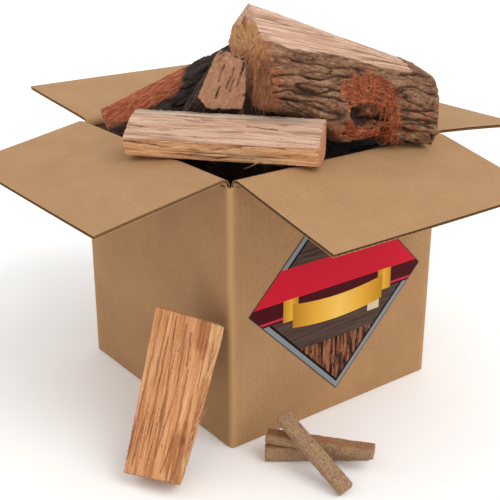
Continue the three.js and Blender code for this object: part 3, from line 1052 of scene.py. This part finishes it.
# The lower part of the wound is sunk and painted dark, which is painted shade, and fewer fibres grow there.
shaded_cavity = soft_step(bump_at(p, (126, 8, 25), (34, 30, 12))
                   + 0.5 * wander(p, (7, 5, 5), 41), 0.3, 0.9) * wound
knot = bump_at(p, (2, 106, 84), (11, 9, 9))
relief = grain * (1 - bark) + (plates + 0.8) * bark
relief = relief - 2.6 * cracks * bark
relief = relief * (1 - wound) + (fibres - 1.6 + swell - 2.5 * shaded_cavity) * wound
relief = relief + 4.5 * bump_at(p, (108, 12, 2), (42, 30, 24)) * bark
relief = np.where(sawn > 0, end, relief) - 7 * shaded_hollows
relief = relief + knot * (4.0 + 1.5 * wander(p, (4, 4, 4), 33))
relief = relief * (1 - peeled * 0.6) + peeled * (1.5 * wander(p, (4, 2.6, 12), 31) - 2.0)
log.push(relief + weathered_edges(log, 32, 0.9) * (1 - bark * 0.5))
sag = soft_step(p[:, 2], 30, 0) * (2.5 + 14 * np.exp(-((p[:, 0] - 100) / 34) ** 2)
                                   + 1.5 * wander(p, (16, 9, 30), 42))
log.move[:, 2] -= sag * soft_step(p[:, 1], 75, 45)
dents = soft_step(wander(p, (7, 3, 3), 29), -0.15, -0.5) * 0.7
log.shares["bark"] = bark
strip_end = soft_step(p[:, 2] + 3 * wander(p, (9, 7, 7), 38), 56, 50) * (p[:, 0] < 20)
strip_end = strip_end * (0.8 + 0.5 * wander(p, (12, 3, 14), 39))
pink = soft_step(p[:, 2] + 0.21 * p[:, 1] + 1.5 * wander(p, (9, 9, 9), 37), 103, 106)
log.shares["sawn"] = sawn * 0.85 * (1 - pink * (p[:, 0] < 20))
log.shares["warm"] = sawn * (1 - pink)
log.shares["torn"] = np.maximum(np.maximum(wound, 0.75 * soft_step(knot, 0.05, 0.4)),
                                np.maximum(0.3 * peeled * (1 - sawn), 0.5 * strip_end))
log.shares["crack"] = np.maximum(
    np.where(bark > 0.5, np.maximum(0.8 * furrow, cracks) * (1 - wound)
             + np.maximum(0.3 + dents, 0.75 * shaded_cavity) * wound, check * 0.6 * (1 - bark)), shaded_hollows)
log.shares["crack"] = np.where(sawn > 0, 0.5 * end_check + 0.5 * strip_end * soft_step(
    p[:, 1] + 5 * wander(p, (9, 6, 6), 40), 62, 50), log.shares["crack"])
log.shares["crack"] = np.maximum(log.shares["crack"], 0.6 * soft_step(
    wander(p, (4, 3, 3), 34), 0.0, 0.4) * knot)
log.build("oak_bark_quarter", quarter_oak)
quarter, wound_share = log, wound * (1 - shaded_hollows) * (1 - 0.8 * shaded_cavity * (p[:, 0] < 140))

# %% [markdown]
# ## Torn fibres and splinters
# Wood that was torn, not cut, ends in loose strands: a mat of them fills the branch wound, a
# tuft hangs under it, and slivers stand off the ragged edges. Hair particles would be lost
# when the meshes are exported, so each strand is a thin tapered tube with three sides. It
# starts on the log's own surface, heads along the grain or round the wound, and lifts off a
# little before it bends back.


# %% Strands
def strands(name, log, chosen, count, length, width, heading, finish, seed, lift=0.25,
            droop=0.0, spread=0.5, torn=1.0, dull=0.0, joints_each=5):
    """Thin tubes that start on chosen vertices. length and width are (least, most) in mm,
    heading(point) is a direction in the log's own axes, dull darkens them all."""
    sides = 3
    chance = np.random.default_rng(seed)
    down = np.array([0, 0, -1.0]) @ log.turn
    roots = chance.choice(np.flatnonzero(chosen), count)
    vertices, faces, places, shades = [], [], [], []
    for root in roots:
        at = log.points[root] + log.move[root]
        out = log.out[root]
        ahead = np.asarray(heading(at), float) + chance.normal(0, spread, 3)
        ahead -= out * (ahead @ out)
        ahead /= np.linalg.norm(ahead)
        aside = np.cross(out, ahead)
        size, thick = chance.uniform(*length), chance.uniform(*width) / 2
        bend, rise = chance.normal(0, 0.25), chance.uniform(0.3, 1.0) * lift
        shade = dull + chance.uniform(0, 0.6) ** 2
        start = len(vertices)
        for step in range(joints_each + 1):
            t = step / joints_each
            middle = (at - out * 0.4 + ahead * size * t + aside * size * bend * t * t
                      + out * size * rise * math.sin(2.2 * t) + down * droop * size * t * t)
            radius = thick * (1 - 0.75 * t)
            for side in range(sides):
                angle = 2 * math.pi * side / sides
                point = middle + radius * (aside * math.cos(angle) + out * math.sin(angle))
                vertices.append(log.world(point))
                places.append(point + root % 97)
                shades.append(shade)
        for step in range(joints_each):
            for side in range(sides):
                a, b = start + step * sides + side, start + step * sides + (side + 1) % sides
                faces.append((a, b, b + sides, a + sides))
        faces.append(tuple(range(start + sides - 1, start - 1, -1)))
        faces.append(tuple(range(len(vertices) - sides, len(vertices))))
    piece = finish_mesh(name, vertices, faces, finish, 60)
    store(piece, "grain_place", places, "FLOAT_VECTOR")
    store(piece, "torn", [torn] * len(vertices))
    store(piece, "crack", shades)
    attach(piece, "root")
    print(name, len(faces), "faces")
    return piece


def round_wound(at):
    """Fibres of the wound run round its middle, as they did round the branch."""
    return (at[2] - 40, 0, 131 - at[0])


strands("wound_fibres", quarter, wound_share > 0.6, 560, (6, 19), (0.6, 1.3), round_wound,
        quarter_oak, 301, lift=0.22, spread=9.0)
tuft = (np.abs(quarter.points[:, 0] - 160) < 11) & (quarter.points[:, 2] < 13)
tuft &= quarter.points[:, 1] < 30
strands("wound_tuft", quarter, tuft, 150, (8, 16), (0.6, 1.1), lambda at: (0.4, 0, -1),
        quarter_oak, 302, lift=0.5, spread=0.7, droop=0.15)
strip = (quarter.points[:, 1] < 66) & (quarter.points[:, 0] < 12) & (quarter.points[:, 2] < 66)
strands("peeled_strip_fibres", quarter, strip, 220, (6, 18), (0.4, 0.9), lambda at: (0.5, 0, -1),
        quarter_oak, 303, lift=0.15, spread=0.8, torn=0.8, dull=0.25)

# %% [markdown]
# ## The split that shows its sawn end
# Only its slanting sawn end is seen well. The end is pinkish grey, with dark drying checks that run nearly
# straight down it. Its sides are bark, painted nearly black: dark bark with painted shade over it.

# %% Split with its sawn end up
log = Log("split_sawn_end", 86.0, -47.0, net=1.4)
p = log.points
facing = log.facet_normals(0.5)
near = (facing[:, 0] < -0.3).astype(float)
far = (facing[:, 0] > 0.5).astype(float)
plates, furrow = bark_relief(log, 46, 0.6)
down = slits(p, (1, 2), (
    ((20, 59), (25, 56)), ((14, 42), (16, 38)), ((16, 37), (23, 29)), ((16, 32), (20, 25)),
    ((5, 41), (9, 33), (14, 24)), ((21, 50), (25, 45), (28, 39)), ((28, 33), (33, 26))), 1.5, 42)
saw = wander(p, (30, 30, 2.2), 44)
log.push(np.where(near + far > 0, 0.2 * (saw - 1) - 1.2 * down * near, plates)
         + weathered_edges(log, 45, 0.7))
log.shares["sawn"] = np.clip(near + far, 0, 1)
log.shares["bark"] = 1 - log.shares["sawn"]
down = down * (0.65 + 0.6 * wander(p, (6, 6, 9), 47))
# The sides get a crack share of at least 0.8, which paints them nearly black: painted shade over dark bark.
log.shares["crack"] = np.where(near > 0, down, np.clip(furrow + 0.8, 0, 1))
log.build("oak_split_sawn_end", fresh_oak)

# %% [markdown]
# ## The dark log
# It rises out of the left corner. Its upper left side has lost the outer bark, so the rust
# red inner bark shows in long fibres. The rest is bark, dark and a little green.

# %% Dark log
dark_oak = oak_finish(
    "mossy_dark_oak_bark", WARM_STOPS, WARM_STOPS, SAWN_STOPS,
    [(0.25, "110d0c"), (0.42, "241d19"), (0.58, "362e28"), (0.7, "464136"), (0.82, "5b5745")],
    [(0.25, "4a1c10"), (0.40, "7f3c22"), (0.54, "a3583a"), (0.66, "b96f4a"),
     (0.8, "d29a74")], GREY_STOPS,
    line="2a1710", rust="4a2a20")
log = Log("split_dark_bark", -27.2, 25.1, net=1.6)
p = log.points
facing = log.facet_normals(1.0)
sawn = sawn_faces(facing)
plates, furrow = bark_relief(log, 51, 0.8, (38, 11, 11))
inner = soft_step(p[:, 2] + 5 * wander(p, (26, 12, 12), 52), 31, 38)
inner *= soft_step(p[:, 0] + 16 * wander(p, (20, 12, 12), 53) + (46 - p[:, 2]) * 1.5, 113, 100)
strips = 1.3 * wander(p, (45, 3.2, 3.2), 54) + 0.8 * wander(p, (16, 2, 2), 55) - 1.4
end, end_check = sawn_relief(log, 56, (20, 30))
relief = plates * (1 - inner) + strips * inner
log.push(np.where(sawn > 0, end, relief) + weathered_edges(log, 57, 1.2))
log.shares["bark"] = 1 - sawn
log.shares["torn"] = inner * (1 - sawn)
log.shares["sawn"] = sawn
log.shares["crack"] = np.where(sawn > 0, end_check, furrow * (1 - inner * 0.9))
log.build("oak_dark_log", dark_oak)

# %% [markdown]
# ## The leaning split
# It stands on the floor with its wide, ray-split face turned up: orange tan, with coarse red
# brown lines along the grain. Weather has darkened two patches on its right, and its right
# edge is torn into pale ragged fibres, with a small knot low down. Its back is bark.

# %% Leaning split
log = Log("split_leaning", 29.0, 60.6, net=1.35)
p = log.points
facing = log.facet_normals(0.8)
sawn = sawn_faces(facing)
front = (facing[:, 2] > 0.7).astype(float)
back = (facing[:, 2] < -0.6).astype(float)
grain, check = split_relief(log, 61, 1.0, spacing=5.5)
plates, furrow = bark_relief(log, 62, 0.7)
end, end_check = sawn_relief(log, 63, (30, 0))
right = soft_step(p[:, 1] + 3 * wander(p, (18, 5, 5), 64), 9, 3)
fray = -2.6 * right * np.clip(0.5 + wander(p, (24, 2.6, 2.6), 65), 0, 1.2)
relief = grain * (1 - back) + plates * back + fray
knot = bump_at(p, (47, 14, 40), (9, 7, 8))
relief = relief - 2.2 * bump_at(p, (47, 14, 40), (6, 4, 8)) + 1.0 * knot
log.push(np.where(sawn > 0, end, relief) + weathered_edges(log, 66, 1.3))
patches = np.maximum(bump_at(p, (160, 15, 40), (30, 13, 20)), bump_at(p, (28, 16, 40), (42, 18, 20)))
patches = np.clip(1.3 * patches + wander(p, (16, 4, 4), 67) * (patches > 0.03), 0, 1)
log.shares["bark"] = back * (1 - sawn)
log.shares["sawn"] = sawn * 0.4
log.shares["warm"] = np.maximum(patches * front * 0.9, sawn * 0.5)
log.shares["grey"] = right * np.clip(0.45 + wander(p, (45, 2.6, 2.6), 69), 0, 1)
log.shares["torn"] = knot * 0.5
lines = slits(p, (0, 1), (
    ((171, 60), (99, 60), (11, 66)), ((173, 50), (88, 44), (8, 50)), ((168, 37), (97, 33), (23, 42)),
    ((176, 68), (100, 70), (14, 73)), ((120, 25), (60, 24), (10, 31)), ((160, 29), (124, 27)),
    ((96, 13), (40, 15), (6, 16)), ((150, 55), (60, 55), (20, 58))), 1.4, 68)
lines = lines * (0.55 + 0.5 * wander(p, (30, 5, 5), 70))
log.shares["crack"] = np.where(sawn > 0, end_check * 0.6, np.where(
    back > 0, furrow, np.maximum(check * 0.3, np.clip(lines, 0, 0.5))))
log.build("oak_split_leaning", ray_oak)
leaning_log = log

# %% Splinters on the two fresh splits
edge = (across_log.points[:, 2] < 3) & (across_log.points[:, 1] < 12)
strands("front_split_splinters", across_log, edge, 9, (6, 16), (0.35, 0.7),
        lambda at: (1, 0, 0), fresh_oak, 304, lift=0.12, spread=0.08, droop=0.12, torn=0.0)
hanging = edge & (np.abs(across_log.points[:, 0] - 152) < 4)
strands("hanging_sliver", across_log, hanging, 2, (14, 20), (0.5, 0.8), lambda at: (-1, 0, -0.3),
        fresh_oak, 305, lift=0.35, spread=0.1, droop=0.25, torn=0.0, joints_each=9)
side = (leaning_log.points[:, 1] < 7) & (leaning_log.points[:, 2] > 26)
side &= leaning_log.points[:, 0] < leaning_log.size[0] - 50
strands("leaning_split_slivers", leaning_log, side, 90, (14, 44), (0.5, 1.2),
        lambda at: (1, 0, 0), ray_oak, 306, lift=0.07, spread=0.05, torn=0.0)

# %% [markdown]
# ## The heap inside
# The splits that fill the carton are mostly hidden, but the mouth and the gaps show them, so they get the same
# reliefs on a coarser net. Their wood is painted much darker than the splits on top, as painted shade for the
# inside of the carton. Each keeps bark on its lower side, where the log's outside was. The dark ones, and the one
# nearest the front, are bark all round.


# %% Splits that fill the carton
def heap_split(node, yaw, seed, net):
    log = Log(node, yaw, net=net)
    facing = log.facet_normals(1.0, seed)
    sawn = sawn_faces(facing)
    bark = (facing[:, 2] < -0.3) * (1 - sawn)
    if SLOT_OF[node] == "dark_bark" or node == "split_top_front":
        bark = 1 - sawn
    grain, check = split_relief(log, seed)
    plates, furrow = bark_relief(log, seed + 3, 0.7)
    end, end_check = sawn_relief(log, seed + 6, (30, 20))
    relief = grain * (1 - bark) + plates * bark
    log.push(np.where(sawn > 0, end, relief) + weathered_edges(log, seed + 7))
    log.shares["bark"], log.shares["sawn"] = bark, sawn
    log.shares["warm"] = np.clip(0.5 - 0.5 * facing[:, 1], 0, 1)
    log.shares["crack"] = np.where(sawn > 0, end_check, np.where(bark > 0, furrow, check))
    # Heap splits that are not dark bark get the oak that is painted dark as shade.
    log.build("oak_" + node, dark_oak if SLOT_OF[node] == "dark_bark" else shaded_heap_oak)


HEAP_YAW = {"split_heap_front": -6.0, "split_heap_back": 6.0}
for number, node in enumerate(sorted(frame["nodes"])):
    if node.startswith("split_row"):
        heap_split(node, 90.0 if node.startswith("split_row2") else 0.0, 100 + 9 * number, 5.0)
    elif node.startswith(("split_top", "split_heap")):
        heap_split(node, HEAP_YAW.get(node, 0.0), 100 + 9 * number, 2.5)

# %% [markdown]
# ## Starter sticks
# The sticks are sawdust and wax pressed to a bar and cut to length. Up close they are a
# jumble of short pale and dark fibres with pits between them, worn at the edges. The mesh
# carries the pits and the finish the fibres. The flat faces of the lower two are redder.


# %% Pressed fibre
def pressed_fibre(name):
    """Pressed sawdust with wax: short light and dark fibres, no grain, hardly any shine."""
    material, tree, shader = new_material(name)
    place = add(tree, "ShaderNodeAttribute", {"attribute_name": "grain_place"})
    place = place.outputs["Vector"]
    crack = add(tree, "ShaderNodeAttribute", {"attribute_name": "crack"}).outputs["Fac"]
    warm = add(tree, "ShaderNodeAttribute", {"attribute_name": "warm"}).outputs["Fac"]
    grit = add(tree, "ShaderNodeTexNoise", inputs={
        "Vector": place, "Scale": 1 / 3.2, "Detail": 5.0, "Roughness": 0.8})
    tint = add(tree, "ShaderNodeTexNoise", inputs={
        "Vector": place, "Scale": 1 / 11, "Detail": 2.0})
    flakes = add(tree, "ShaderNodeTexVoronoi", inputs={"Vector": place, "Scale": 1 / 2.6})
    base = add(tree, "ShaderNodeValToRGB", {"ramp": [
        (0.28, "4c382a"), (0.42, "7e624b"), (0.56, "9c7c5e"), (0.72, "c6a67e")]},
        {"Fac": grit.outputs["Fac"]})
    tinted = add(tree, "ShaderNodeValToRGB", {"ramp": [
        (0.35, "a3705a"), (0.5, "a3866a"), (0.65, "b0975c")]}, {"Fac": tint.outputs["Fac"]})
    fleck = add(tree, "ShaderNodeMapRange", inputs={
        "Value": flakes.outputs["Distance"], "From Min": 0.16, "From Max": 0.05})
    skin = painted(tree, base.outputs[0], [
        (0.3, None, 1.0, tinted.outputs[0]),
        (fleck.outputs["Result"], None, 1.0, paint("d6b98d")),
        (warm, None, 0.45, paint("955a38")),
        (crack, None, 1.0, paint("3b2a20"))])
    tree.links.new(skin, shader.inputs["Base Color"])
    shader.inputs["Roughness"].default_value = 0.85
    shader.inputs["Specular IOR Level"].default_value = 0.25
    bump = add(tree, "ShaderNodeBump", inputs={
        "Strength": 0.5, "Distance": 0.5 * MM, "Height": grit.outputs["Fac"]})
    tree.links.new(bump.outputs["Normal"], shader.inputs["Normal"])
    return material


stick_finish = pressed_fibre("pressed_sawdust_and_wax")
STICKS = {"stick_lowest": (-35.8, 0.0, 0.0), "stick_crossing": (-52.4, 0.0, 0.0),
          "stick_topmost": (94.0, 24.0, -16.0)}
for number, (node, pose) in enumerate(STICKS.items()):
    log = Log(node, *pose, net=0.95)
    p = log.points
    pits = soft_step(wander(p, (3, 2.5, 2.5), 200 + number), 0.3, 0.6)
    grains = 0.5 * wander(p, (3, 2, 2), 210 + number) + 0.35 * wander(p, (1.8, 1.8, 1.8), 220)
    log.push(0.4 * (grains - 0.6) - 0.4 * pits + weathered_edges(log, 230 + number, 0.9))
    log.shares["crack"] = pits * 0.35
    facing = log.facet_normals()
    log.shares["warm"] = (np.abs(facing[:, 2]) > 0.8) * (node != "stick_topmost")
    log.build("pressed_" + node, stick_finish)
